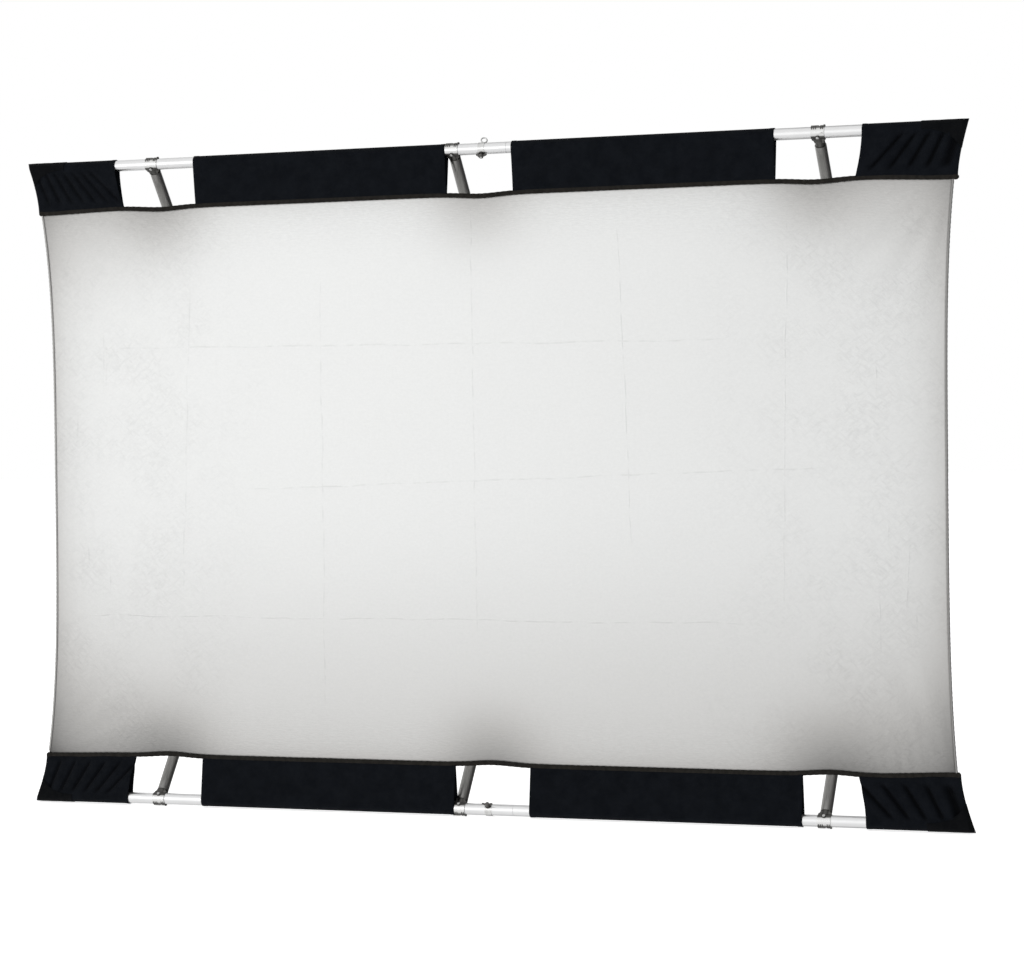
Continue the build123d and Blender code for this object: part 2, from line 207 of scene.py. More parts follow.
def new_piece(name, points, faces, uv, materials, face_materials=None):
    mesh = bpy.data.meshes.new(name)
    mesh.from_pydata(points.tolist(), [], faces)
    for material in materials:
        mesh.materials.append(material)
    if face_materials is not None:
        mesh.polygons.foreach_set("material_index", face_materials.astype(np.int32))
    mesh.polygons.foreach_set("use_smooth", np.ones(len(mesh.polygons), bool))
    loops = np.zeros(len(mesh.loops), np.int32)
    mesh.loops.foreach_get("vertex_index", loops)
    layer = mesh.uv_layers.new(name="Cloth")
    layer.data.foreach_set("uv", uv[loops].astype(np.float32).ravel())
    mesh.update()
    piece = bpy.data.objects.new(name, mesh)
    bpy.context.scene.collection.objects.link(piece)
    return piece


def cloth_layers(name, grid, normal, thickness, uv, materials, wrap=False):
    """A closed cloth: an outer and an inner layer of a grid of points, joined at the rims.

    wrap closes the columns into a loop.
    """
    rows, columns = grid.shape[:2]
    count = rows * columns
    outer = (grid + normal * thickness / 2).reshape(-1, 3)
    inner = (grid - normal * thickness / 2).reshape(-1, 3)
    index = np.arange(count).reshape(rows, columns)
    faces = [grid_faces(rows, columns, wrap, 0, False), grid_faces(rows, columns, wrap, count, True)]
    if wrap:
        first = np.append(index[0], index[0, 0])
        last = np.append(index[-1], index[-1, 0])
        rims = [rim_faces(first, count, False), rim_faces(last, count, True)]
    else:
        rims = [rim_faces(index[0], count, False), rim_faces(index[-1], count, True)]
        rims += [rim_faces(index[:, 0], count, True), rim_faces(index[:, -1], count, False)]
    counts = (len(faces[0]), len(faces[1]), sum(map(len, rims)))
    sides = np.repeat([0, 1, 0], counts)
    points = np.concatenate([outer, inner])
    uvs = np.concatenate([uv.reshape(-1, 2)] * 2)
    return new_piece(name, points, np.concatenate(faces + rims).tolist(), uvs, materials, sides)


def grid_normals(grid):
    """Unit normals of a grid of points, the way that grid_faces turns its faces."""
    normal = np.cross(np.gradient(grid, axis=0), np.gradient(grid, axis=1))
    return normal / np.maximum(np.linalg.norm(normal, axis=-1, keepdims=True), 1e-12)


def tube_piece(name, path, frame_a, frame_b, profile, uv_scale, materials):
    """A closed bar: profile (a, b) pairs swept along path with its ends capped by a fan."""
    rows, columns = len(path), profile.shape[-2]
    profile = np.broadcast_to(profile, (rows, columns, 2))
    grid = path[:, None] + profile[..., :1] * frame_a[:, None] + profile[..., 1:] * frame_b[:, None]
    count = rows * columns
    index = np.arange(count).reshape(rows, columns)
    points = np.concatenate([grid.reshape(-1, 3), path[:1], path[-1:]])
    nxt = np.roll(index, -1, axis=1)
    faces = grid_faces(rows, columns, True, 0, False).tolist()
    faces += [[count, nxt[0, j], index[0, j]] for j in range(columns)]
    faces += [[count + 1, index[-1, j], nxt[-1, j]] for j in range(columns)]
    steps = np.linalg.norm(np.diff(path, axis=0), axis=1)
    length = np.concatenate([[0], np.cumsum(steps)])
    u = np.repeat(length, columns)
    v = np.tile(np.arange(columns) / columns * uv_scale, rows)
    uv = np.stack([np.append(u, [0, length[-1]]), np.append(v, [0, 0])], axis=-1)
    return new_piece(name, points, faces, uv, materials)


# Materials


def add(tree, kind, inputs=None, **properties):
    """A new node with its properties set, and its inputs set or linked."""
    node = tree.nodes.new(kind)
    for key, value in properties.items():
        setattr(node, key, value)
    for key, value in (inputs or {}).items():
        if isinstance(value, bpy.types.NodeSocket):
            tree.links.new(value, node.inputs[key])
        else:
            node.inputs[key].default_value = value
    return node


def calc(tree, operation, a, b=0.0, c=0.0):
    node = add(tree, "ShaderNodeMath", {0: a, 1: b, 2: c}, operation=operation)
    return node.outputs[0]


def ramp(tree, value, low, high, to_low=0.0, to_high=1.0):
    inputs = {"Value": value, "From Min": low, "From Max": high, "To Min": to_low, "To Max": to_high}
    return add(tree, "ShaderNodeMapRange", inputs, interpolation_type="SMOOTHSTEP").outputs[0]


def vector_calc(tree, operation, a, b):
    """The node itself: its Vector and Value outputs hold the two kinds of result."""
    return add(tree, "ShaderNodeVectorMath", {0: a, 1: b}, operation=operation)


def blend_colour(tree, factor, a, b, blend_type="MIX"):
    inputs = {0: factor, 6: a, 7: b}
    return add(tree, "ShaderNodeMix", inputs, data_type="RGBA", blend_type=blend_type).outputs[2]


def scaled(tree, vector, scale):
    return add(tree, "ShaderNodeMapping", {"Vector": vector, "Scale": scale}).outputs[0]


def noise(tree, vector, scale, detail=3.0, roughness=0.5, stretch=None):
    if stretch:
        vector = scaled(tree, vector, stretch)
    inputs = {"Vector": vector, "Scale": scale, "Detail": detail, "Roughness": roughness}
    return add(tree, "ShaderNodeTexNoise", inputs).outputs[0]


def bump(tree, height, distance, strength=1.0, normal=None):
    inputs = {"Height": height, "Distance": distance, "Strength": strength}
    if normal is not None:
        inputs["Normal"] = normal
    return add(tree, "ShaderNodeBump", inputs).outputs[0]


def new_material(name):
    material = bpy.data.materials.new(name)
    material.use_nodes = True
    tree = material.node_tree
    return material, tree, tree.nodes["Principled BSDF"]


def connect(tree, shader, inputs):
    for key, value in inputs.items():
        if isinstance(value, bpy.types.NodeSocket):
            tree.links.new(value, shader.inputs[key])
        else:
            shader.inputs[key].default_value = value


def uv_vector(tree):
    return add(tree, "ShaderNodeUVMap", uv_map="Cloth").outputs[0]


def object_vector(tree):
    return add(tree, "ShaderNodeTexCoord").outputs["Object"]


def weave(tree, vector, pitch):
    """Height of a plain weave: two crossed sets of threads, pitch metres apart."""
    split = add(tree, "ShaderNodeSeparateXYZ", {0: vector})
    rate = 2 * math.pi / pitch
    warp = calc(tree, "SINE", calc(tree, "MULTIPLY", split.outputs[0], rate))
    weft = calc(tree, "SINE", calc(tree, "MULTIPLY", split.outputs[1], rate))
    return calc(tree, "MULTIPLY", warp, weft)


# The screen is packed folded: this many columns and rows, so its creases lie on a grid.
FOLD_COLUMNS = 6
FOLD_ROWS = 4
CRUSH_MARKS = 5  # short upright creases near each side
CREASE_WIDTH = 0.0022
CREASE_FADE = 0.04


def packing_creases():
    """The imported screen's creases, as pairs of ends: each is a little askew and keeps part of its length."""
    rng = np.random.default_rng(11)
    half_width, half_height = WAIST[0], SIDE_H
    creases = []
    for number in range(1, FOLD_COLUMNS):
        x = half_width * (2 * number / FOLD_COLUMNS - 1)
        top, low = half_height * rng.uniform(0.7, 1.0), -half_height * rng.uniform(0.0, 0.9)
        creases.append(((x + rng.uniform(-0.02, 0.02), top), (x + rng.uniform(-0.02, 0.02), low)))
    for number in range(1, FOLD_ROWS):
        h = half_height * (2 * number / FOLD_ROWS - 1)
        left, right = -half_width * rng.uniform(0.3, 0.95), half_width * rng.uniform(0.5, 0.95)
        creases.append(((left, h + rng.uniform(-0.03, 0.03)), (right, h + rng.uniform(-0.03, 0.03))))
    for sign in (-1, 1):
        for _ in range(CRUSH_MARKS):
            x = sign * half_width * rng.uniform(0.86, 0.95)
            h = half_height * rng.uniform(-0.4, 0.6)
            creases.append(((x, h), (x + rng.uniform(-0.006, 0.006), h - rng.uniform(0.08, 0.18))))
    return creases


def crease_group():
    """A node group: how close a point is to a straight crease, as a height from 0 to 1."""
    group = bpy.data.node_groups.new("crease", "ShaderNodeTree")
    face = group.interface
    for name, kind in (("Point", "Vector"), ("Start", "Vector"), ("Along", "Vector"), ("Across", "Vector")):
        face.new_socket(name, in_out="INPUT", socket_type=f"NodeSocket{kind}")
    face.new_socket("Length", in_out="INPUT", socket_type="NodeSocketFloat")
    face.new_socket("Height", in_out="OUTPUT", socket_type="NodeSocketFloat")
    source = group.nodes.new("NodeGroupInput")
    away = vector_calc(group, "SUBTRACT", source.outputs[0], source.outputs[1]).outputs["Vector"]
    along = vector_calc(group, "DOT_PRODUCT", away, source.outputs[2]).outputs["Value"]
    across = vector_calc(group, "DOT_PRODUCT", away, source.outputs[3]).outputs["Value"]
    wander = noise(group, source.outputs[0], 9.0, 2.0)
    offset = calc(group, "MULTIPLY_ADD", wander, 0.012, -0.006)
    distance = calc(group, "ABSOLUTE", calc(group, "ADD", across, offset))
    near = ramp(group, distance, 0.0, CREASE_WIDTH, 1.0, 0.0)
    started = ramp(group, along, 0.0, CREASE_FADE)
    left = calc(group, "SUBTRACT", source.outputs[4], along)
    ended = ramp(group, left, 0.0, CREASE_FADE)
    broken = ramp(group, noise(group, source.outputs[0], 38.0, 2.0), 0.38, 0.62, 0.1, 1.0)
    ends = calc(group, "MULTIPLY", started, ended)
    height = calc(group, "MULTIPLY", calc(group, "MULTIPLY", near, broken), ends)
    target = group.nodes.new("NodeGroupOutput")
    group.links.new(height, target.inputs[0])
    return group


def crease_height(tree, vector):
    group = crease_group()
    total = None
    for start, end in packing_creases():
        step = Vector((end[0] - start[0], end[1] - start[1], 0))
        along = step.normalized()
        inputs = {0: vector, 1: (*start, 0), 2: along, 3: (-along.y, along.x, 0), 4: step.length}
        node = tree.nodes.new("ShaderNodeGroup")
        node.node_tree = group
        connect(tree, node, inputs)
        total = node.outputs[0] if total is None else calc(tree, "MAXIMUM", total, node.outputs[0])
    return total


def crinkle_height(tree, uv):
    """Fine crush marks: short slanting creases both ways, and level streaks that grow near the trims."""
    split = add(tree, "ShaderNodeSeparateXYZ", {0: uv})
    slants = []
    for degrees in (52, -48):
        rotation = (0, 0, math.radians(degrees))
        turned = add(tree, "ShaderNodeMapping", {"Vector": uv, "Rotation": rotation}).outputs[0]
        marks = noise(tree, turned, 150.0, 3.0, 0.6, stretch=(1.0, 0.30, 1.0))
        slants.append(ramp(tree, marks, 0.38, 0.80))
    slanted = calc(tree, "MAXIMUM", slants[0], slants[1])
    sideways = ramp(tree, calc(tree, "ABSOLUTE", split.outputs[0]), 0.35, 0.75, 0.12, 1.0)
    patchy = ramp(tree, noise(tree, uv, 7.0, 3.0), 0.35, 0.65, 0.25, 1.0)
    slanted = calc(tree, "MULTIPLY", slanted, calc(tree, "MULTIPLY", sideways, patchy))
    level = ramp(tree, noise(tree, uv, 340.0, 3.0, 0.7, stretch=(0.22, 1.0, 1.0)), 0.30, 0.70)
    near_trim = ramp(tree, calc(tree, "ABSOLUTE", split.outputs[1]), 0.40, 0.56, 0.12, 0.80)
    return calc(tree, "ADD", calc(tree, "MULTIPLY", slanted, 1.1), calc(tree, "MULTIPLY", level, near_trim))


# The warm tint goes where the painted shade darkens the sheet.
WARM_SILVER = (0.975, 0.960, 0.935, 1)  # where the sheet is dark
COOL_SILVER = (0.960, 0.968, 0.960, 1)
WEAVE_PITCH = 0.0024


def silver_cloth():
    """Metallised stretch cloth: soft metal sheen, a fine weave, packing creases and fine crush marks. Its
    colour carries painted shade from the mesh and along the creases and crush marks.
    """
    material, tree, shader = new_material("silver_cloth")
    uv = uv_vector(tree)
    # Painted shade over the whole sheet, stored on its mesh.
    painted_shade_tone = add(tree, "ShaderNodeAttribute", attribute_name="painted_shade_tone").outputs["Fac"]
    mottle = noise(tree, uv, 170.0, 4.0, 0.6)
    level = calc(tree, "MULTIPLY", painted_shade_tone, ramp(tree, mottle, 0.25, 0.75, 0.97, 1.0))
    creases = crease_height(tree, uv)
    crinkles = crinkle_height(tree, uv)
    # Painted shade along the creases and crush marks: the colour is darkened there as well as bumped.
    level = calc(tree, "MULTIPLY", level, calc(tree, "MULTIPLY_ADD", creases, -0.07, 1.0))
    level = calc(tree, "MULTIPLY", level, calc(tree, "MULTIPLY_ADD", crinkles, -0.10, 1.03))
    grey = add(tree, "ShaderNodeCombineColor", {0: level, 1: level, 2: level}).outputs[0]
    # A warmer tint where the painted shade is deepest.
    tint = blend_colour(tree, ramp(tree, painted_shade_tone, 0.45, 0.85), WARM_SILVER, COOL_SILVER)
    colour = blend_colour(tree, 1.0, grey, tint, "MULTIPLY")
    normal = bump(tree, crinkles, 0.0005, 0.40)
    normal = bump(tree, creases, 0.0006, 0.35, normal)
    normal = bump(tree, mottle, 0.0004, 0.25, normal)
    normal = bump(tree, weave(tree, uv, WEAVE_PITCH), 0.0001, 0.6, normal)
    rough = ramp(tree, noise(tree, uv, 60.0), 0.3, 0.7, 0.43, 0.44)
    connect(tree, shader, {"Base Color": colour, "Metallic": 0.9, "Roughness": rough, "Normal": normal})
    return material


def white_lining():
    """The screen's back: a matt white weave that shows the same creases as the front, with painted shade along
    them.
    """
    material, tree, shader = new_material("white_lining")
    uv = uv_vector(tree)
    shade = ramp(tree, noise(tree, uv, 120.0, 4.0), 0.3, 0.7)
    creases = crease_height(tree, uv)
    # Painted shade: the creases darken the lining's colour.
    shade = calc(tree, "SUBTRACT", shade, calc(tree, "MULTIPLY", creases, 2.0))
    colour = blend_colour(tree, shade, (0.80, 0.80, 0.79, 1), (0.83, 0.83, 0.82, 1))
    normal = bump(tree, crinkle_height(tree, uv), 0.0005, 0.4)
    normal = bump(tree, creases, 0.0012, 0.4, normal)
    normal = bump(tree, weave(tree, uv, WEAVE_PITCH), 0.0002, 0.8, normal)
    connect(tree, shader, {"Base Color": colour, "Roughness": 0.85, "Normal": normal, "Sheen Weight": 0.2})
    return material


def black_cloth(name, low, high, pitch=0.0012):
    """Dense black cloth: nearly matt, with a fine weave, and painted shade in the folds of a corner sleeve."""
    material, tree, shader = new_material(name)
    uv = uv_vector(tree)
    shade = ramp(tree, noise(tree, uv, 30.0, 4.0, 0.6), 0.3, 0.7)
    colour = blend_colour(tree, shade, (*low, 1), (*high, 1))
    # Painted shade in a corner sleeve's folds, stored on its mesh.
    painted_fold_shade = add(tree, "ShaderNodeAttribute", attribute_name="painted_fold_shade").outputs["Fac"]
    colour = blend_colour(tree, calc(tree, "MULTIPLY", painted_fold_shade, 0.85), colour, (0, 0, 0, 1))
    rough = ramp(tree, noise(tree, uv, 90.0, 3.0), 0.3, 0.7, 0.62, 0.8)
    normal = bump(tree, noise(tree, uv, 220.0, 3.0), 0.0004, 0.5)
    normal = bump(tree, weave(tree, uv, pitch), 0.0002, 0.7, normal)
    connect(tree, shader, {"Base Color": colour, "Roughness": rough, "Specular IOR Level": 0.06})
    connect(tree, shader, {"Sheen Weight": 0.02, "Sheen Roughness": 0.4, "Normal": normal})
    return material


RIB_PITCH = 0.0016


def elastic_cloth():
    """Woven elastic binding: brown-black, with fine ribs across the band."""
    material, tree, shader = new_material("elastic_trim")
    uv = uv_vector(tree)
    split = add(tree, "ShaderNodeSeparateXYZ", {0: uv})
    ribs = calc(tree, "SINE", calc(tree, "MULTIPLY", split.outputs[0], 2 * math.pi / RIB_PITCH))
    shade = ramp(tree, noise(tree, uv, 120.0, 4.0), 0.3, 0.7)
    colour = blend_colour(tree, shade, (0.0085, 0.0075, 0.0060, 1), (0.0170, 0.0150, 0.0125, 1))
    normal = bump(tree, ribs, 0.0003, 0.6)
    normal = bump(tree, noise(tree, uv, 300.0), 0.0003, 0.4, normal)
    connect(tree, shader, {"Base Color": colour, "Roughness": 0.75, "Specular IOR Level": 0.12})
    connect(tree, shader, {"Sheen Weight": 0.03, "Normal": normal})
    return material


def drawn_metal(name, colour, roughness, streaks, along, wear=0.05):
    """Drawn or turned metal: fine streaks along its length, faint smudges and a few scratches."""
    material, tree, shader = new_material(name)
    place = object_vector(tree)
    stretch = tuple(0.02 if axis == along else 1.0 for axis in range(3))
    lines = noise(tree, place, streaks, 4.0, 0.7, stretch=stretch)
    smudge = noise(tree, place, 18.0, 4.0, 0.6)
    scratch = noise(tree, place, 700.0, 2.0, 0.5, stretch=(0.3, 0.3, 0.3))
    dark = tuple(c * (1 - 2 * wear) for c in colour)
    base = blend_colour(tree, ramp(tree, smudge, 0.25, 0.75), (*dark, 1), (*colour, 1))
    base = blend_colour(tree, ramp(tree, lines, 0.2, 0.8, 0.0, wear), base, (0.1, 0.1, 0.1, 1))
    rough = calc(tree, "ADD", ramp(tree, smudge, 0.3, 0.7, roughness, roughness + 0.08),
                 ramp(tree, scratch, 0.62, 0.75, 0.0, 0.08))
    normal = bump(tree, lines, 0.00006, 0.5)
    connect(tree, shader, {"Base Color": base, "Metallic": 1.0, "Roughness": rough, "Normal": normal})
    return material


# Painted shade: the share of the colour that is left in hollows.
HOLLOW_PAINTED_SHADE = 0.35  # the colour's share that is left in hollows


def cast_metal(name, colour, roughness, grain):
    """Tumbled metal: smooth, with a fine pebbled skin and painted shade in its hollows."""
    material, tree, shader = new_material(name)
    place = object_vector(tree)
    skin = noise(tree, place, grain, 5.0, 0.6)
    dirt = noise(tree, place, 60.0, 4.0, 0.6)
    # Painted shade: the colour darkens where ambient occlusion finds a hollow.
    painted_hollow_shade = add(tree, "ShaderNodeAmbientOcclusion", {"Distance": 0.006}, samples=4).outputs["AO"]
    dark = tuple(c * HOLLOW_PAINTED_SHADE for c in colour)
    base = blend_colour(tree, ramp(tree, painted_hollow_shade, 0.35, 0.95), (*dark, 1), (*colour, 1))
    base = blend_colour(tree, ramp(tree, dirt, 0.45, 0.75, 0.0, 0.3), base, (*dark, 1))
    rough = ramp(tree, dirt, 0.3, 0.7, roughness, roughness + 0.14)
    normal = bump(tree, skin, 0.0004, 0.35)
    connect(tree, shader, {"Base Color": base, "Metallic": 1.0, "Roughness": rough, "Normal": normal})
    return material


def tee_casting_painted_highlight():
    """Dark cast aluminium, turned bright where the sleeve is round. That brightness is a painted highlight in
    a band round the sleeve's middle height, with painted shade towards its top and bottom edges.
    """
    material, tree, shader = new_material("tee_casting_painted_highlight")
    place = object_vector(tree)
    split = add(tree, "ShaderNodeSeparateXYZ", {0: place})
    depth = calc(tree, "SUBTRACT", split.outputs[1], RAIL_Y)
    height = calc(tree, "ABSOLUTE", calc(tree, "SUBTRACT", split.outputs[2], MIDDLE_Z))
    height = calc(tree, "SUBTRACT", height, RAIL_H)  # positive outward, negative towards the neck
    squares = calc(tree, "ADD", calc(tree, "POWER", depth, 2.0), calc(tree, "POWER", height, 2.0))
    radius = calc(tree, "SQRT", squares)
    off = calc(tree, "ABSOLUTE", calc(tree, "SUBTRACT", radius, TEE_R))
    turned = ramp(tree, off, 0.00015, 0.00040, 1.0, 0.0)
    skin = noise(tree, place, 500.0, 5.0, 0.6)
    dirt = noise(tree, place, 90.0, 4.0, 0.6)
    turned = calc(tree, "MULTIPLY", turned, ramp(tree, dirt, 0.60, 0.75, 1.0, 0.45))
    # Painted highlight: the turned brightness is kept to the sleeve's middle height and fades to painted shade
    # towards its outer edge and towards the neck.
    turned = calc(tree, "MULTIPLY", turned, ramp(tree, height, 0.45 * TEE_R, 0.70 * TEE_R, 1.0, 0.12))
    turned = calc(tree, "MULTIPLY", turned, ramp(tree, height, -0.72 * TEE_R, -0.48 * TEE_R))
    base = blend_colour(tree, ramp(tree, dirt, 0.3, 0.7), (0.085, 0.083, 0.080, 1), (0.15, 0.147, 0.14, 1))
    base = blend_colour(tree, turned, base, (0.86, 0.86, 0.85, 1))
    rough = ramp(tree, turned, 0.0, 1.0, 0.42, 0.24)
    normal = bump(tree, skin, 0.0004, 0.35)
    connect(tree, shader, {"Base Color": base, "Metallic": 1.0, "Roughness": rough, "Normal": normal})
    return material


def moulded_plastic():
    """Black moulded plastic with a fine spark-eroded grain."""
    material, tree, shader = new_material("moulded_plastic")
    place = object_vector(tree)
    shade = ramp(tree, noise(tree, place, 90.0, 3.0), 0.3, 0.7)
    colour = blend_colour(tree, shade, (0.018, 0.018, 0.020, 1), (0.03, 0.03, 0.032, 1))
    normal = bump(tree, noise(tree, place, 900.0, 4.0), 0.0002, 0.4)
    connect(tree, shader, {"Base Color": colour, "Roughness": 0.5, "Normal": normal})
    return material


MATERIALS = {
    "satin_rail": drawn_metal("satin_aluminium", (0.97, 0.972, 0.975), 0.30, 900.0, 0, 0.03),
    "inner_tube": drawn_metal("drawn_aluminium", (0.80, 0.80, 0.81), 0.28, 900.0, 0, 0.08),
    # The crossbars: the rails' aluminium painted darker grey, as painted shade for bars that lie behind the
    # screen.
    "grey_bar": drawn_metal("grey_aluminium_painted_shade", (0.33, 0.325, 0.315), 0.30, 900.0, 2),
    "cast_fitting": tee_casting_painted_highlight(),
    "bright_hardware": cast_metal("zinc_steel", (0.80, 0.80, 0.79), 0.16, 900.0),
    "dark_hardware": cast_metal("blackened_steel", (0.16, 0.155, 0.15), 0.30, 700.0),
    "cap_plastic": moulded_plastic(),
}
SILVER = silver_cloth()
WHITE = white_lining()
BLACK = black_cloth("black_nylon", (0.0025, 0.0035, 0.0055), (0.0045, 0.0058, 0.0084))
PATCH_BLACK = black_cloth("black_webbing", (0.0018, 0.0022, 0.0030), (0.0034, 0.0038, 0.0046), 0.0018)
ELASTIC = elastic_cloth()


def paint_frame():
    for part in frame["record"]["subparts"]:
        material = MATERIALS.get(part["material_slot"])
        if material:
            node = frame["nodes"][part["node"]]
            node.data.materials.clear()
            node.data.materials.append(material)


# The silver screen

PULL_DEPTH = 0.003  # how far each crossbar's pull draws the sheet back beside an opening
WRINKLE_LENGTH = 0.024
WRINKLE_DEPTH = 0.0005
FAN_X = 0.92  # the wrinkles at a corner fan out from here
FAN_H = 0.545
FAN_RAYS = 17
FAN_DEPTH = 0.0004


def screen_depth(x, h):
    """How far the sheet stands back from the rails' plane."""
    depth = 0.00015 * ripple(x, h, 3, 0.30)
    for rail, places in OPENINGS.items():
        reach = RAIL_H - SCREEN_DROP - UP[rail] * h
        for place in places:
            depth = depth + PULL_DEPTH * bell(x, place, 0.075) * np.exp(-np.abs(reach) / 0.07)
    for side, sign in ((0, -1), (1, 1)):
        inward = side_x(h, side) - sign * x
        near = np.exp(-np.abs(inward - 0.08) / 0.05) * smooth(ripple(x, h, 14 + side, 0.45), 0.1, 0.9)
        wave = np.sin(2 * math.pi * inward / WRINKLE_LENGTH + 2 * ripple(x, h, 8 + side, 0.5))
        depth = depth + WRINKLE_DEPTH * near * wave
        for rail, up in UP.items():
            away = np.hypot(sign * x - FAN_X, up * h - FAN_H)
            angle = np.arctan2(FAN_H - up * h, FAN_X - sign * x)
            fan = np.sin(FAN_RAYS * angle + 2 * side)
            depth = depth + FAN_DEPTH * fan * bell(away, 0.17, 0.10)
    return depth


# Painted shade on the silver: its colour is darkened low down, at its edges and corners, along the
# trims and beside each opening. Each value is a share of full brightness, and one value serves every place of
# its kind.
SHEET_TONE = 0.8
PAINTED_SHADE_LOWER = 0.18
PAINTED_SHADE_SIDE = 0.2
PAINTED_SHADE_TRIM = 0.1
PAINTED_SHADE_CORNER = 0.2
PAINTED_SHADE_OPENING = 0.2


def screen_painted_shade(x, h):
    """Painted shade: how bright the metal's colour is, darker low down, at the edges and corners, along the
    trims and beside each opening.
    """
    painted_shade_tone = SHEET_TONE - PAINTED_SHADE_LOWER * smooth(-h, 0, RAIL_H)
    painted_shade_tone = painted_shade_tone - PAINTED_SHADE_TRIM * np.exp((np.abs(h) - SIDE_H) / 0.02)
    for side, sign in ((0, -1), (1, 1)):
        painted_shade_tone = painted_shade_tone - PAINTED_SHADE_SIDE * np.exp((sign * x - side_x(h, side)) / 0.04)
    for rail, up in UP.items():
        by_rail = bell(h, up * SIDE_H, 0.15)
        for side, sign in ((0, -1), (1, 1)):
            painted_shade_tone = painted_shade_tone - PAINTED_SHADE_CORNER * bell(x, sign * CORNERS[rail][side], 0.25) * by_rail
        for place in OPENINGS[rail]:
            painted_shade_tone = painted_shade_tone - PAINTED_SHADE_OPENING * bell(x, place, 0.1) * bell(h, up * SIDE_H, 0.09)
    return np.clip(painted_shade_tone, 0, 1)


def set_field(piece, name, values):
    """Stores one number for each vertex, for a material to read."""
    layer = piece.data.attributes.new(name, "FLOAT", "POINT")
    layer.data.foreach_set("value", values.astype(np.float32))


def silver_screen():
    columns, rows = 373, 219
    u = np.linspace(0, 1, columns)[:, None]
    v = np.linspace(0, 1, rows)[None, :]
    tuck = 0.002
    h = (2 * v - 1) * (RAIL_H - SCREEN_DROP) + 0 * u
    for _ in range(3):
        left, right = -side_x(h, 0) + HEM_R, side_x(h, 1) - HEM_R
        x = left + (right - left) * u
        low, high = -trim_edge("bottom", x) - tuck, trim_edge("top", x) + tuck
        h = low + (high - low) * v
    grid = to_world(x, screen_depth(x, h), h)
    uv = np.stack([x, h], axis=-1)
    piece = cloth_layers("screen_cloth", grid, grid_normals(grid), CLOTH, uv, [SILVER, WHITE])
    # Painted shade, stored for the silver's colour.
    painted_shade_tone = screen_painted_shade(x, h).ravel()
    set_field(piece, "painted_shade_tone", np.concatenate([painted_shade_tone, painted_shade_tone]))
    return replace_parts(piece, "silver_screen")


def hem(side):
    """The elastic hem down one side of the screen: a thin rolled edge, darkened with painted shade."""
    name = ("left", "right")[side]
    sign = (-1, 1)[side]
    rows, columns = 420, 12
    h = np.linspace(-HEM_END_H, HEM_END_H, rows)
    x = sign * (side_x(h, side) - HEM_R)
    gather = 0.00025 * np.sin(2 * math.pi * h / 0.009)
    path = to_world(x, np.zeros(rows), h)
    turn = np.linspace(0, 2 * math.pi, columns, endpoint=False)
    round_profile = np.stack([np.cos(turn) * HEM_R, np.sin(turn) * HEM_R * 0.7], axis=-1)
    profile = round_profile[None] * (1 + gather[:, None, None] / HEM_R)
    across = np.tile([1.0, 0, 0], (rows, 1))
    back = np.tile([0, 1.0, 0], (rows, 1))
    piece = tube_piece(f"{name}_hem_band", path, across, back, profile, 0.012, [SILVER])
    # Painted shade along the whole hem.
    set_field(piece, "painted_shade_tone", np.full(len(piece.data.vertices), HEM_PAINTED_SHADE[side]))
    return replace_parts(piece, f"{name}_hem")


# Trims


def trim_band(rail):
    rows, columns = 560, 20
    left, right = TRIM_ENDS[rail]
    x = np.linspace(left, right, rows)
    h = UP[rail] * (trim_edge(rail, x) + TRIM_WIDTH / 2)
    path = to_world(x, screen_depth(x, h) * 0.5, h)
    turn = np.linspace(0, 2 * math.pi, columns, endpoint=False)
    flat = 0.45
    wide = np.sign(np.cos(turn)) * np.abs(np.cos(turn)) ** flat * TRIM_WIDTH / 2
    thick = np.sign(np.sin(turn)) * np.abs(np.sin(turn)) ** flat * TRIM_THICKNESS / 2
    profile = np.stack([thick, wide], axis=-1)[None].repeat(rows, axis=0)
    pucker = 1 + 0.05 * np.sin(2 * math.pi * x / 0.0125 + 2 * ripple(x, 0 * x, 5, 0.2))
    end = np.minimum(x - left, right - x)
    knot = 1 + 0.25 * bell(end, 0.005, 0.004) - 0.6 * np.exp(-end / 0.0012)
    profile = profile * (pucker * knot)[:, None, None]
    back = np.tile([0, 1.0, 0], (rows, 1))
    up = np.tile([0, 0, 1.0], (rows, 1))
    piece = tube_piece(f"{rail}_trim_band", path, up, back, profile[..., ::-1], 0.02, [ELASTIC])
    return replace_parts(piece, f"{rail}_trim")


# Sleeves. A sleeve is a teardrop loop round the rail: s is the length along the cloth from the loop's
# outermost line, negative in front and positive behind, and a is the distance from the rail's axis
# towards the trim.

SEAM_TUCK = 0.002
END_HEM_WIDTH = 0.009
FOLDS_END_X = 0.9452  # where a corner sleeve's outer side crosses the middle of its height
FOLDS_MIDDLE_A = 0.039
FOLD_WIDTH = 0.0042
FOLD_WIDENS = 0.006
RIDGE_OFFSET = 0.014  # from a fold's valley to the ridge beside it
RIDGE_WIDTH = 0.009
RIDGE_SHARE = 0.45
# Painted shade: how dark the folds' valleys are painted.
PAINTED_FOLD_SHADES = (0.6, 0.85)  # how dark the folds' valleys are, left and right
PATCH_CLOTH = 0.0007


def loop_length(drop, radius, seam):
    tilt = np.arcsin((radius - seam) / drop)
    straight = np.sqrt(drop**2 - (radius - seam) ** 2)
    return radius * (math.pi / 2 + tilt) + straight + seam * (math.pi / 2 - tilt)


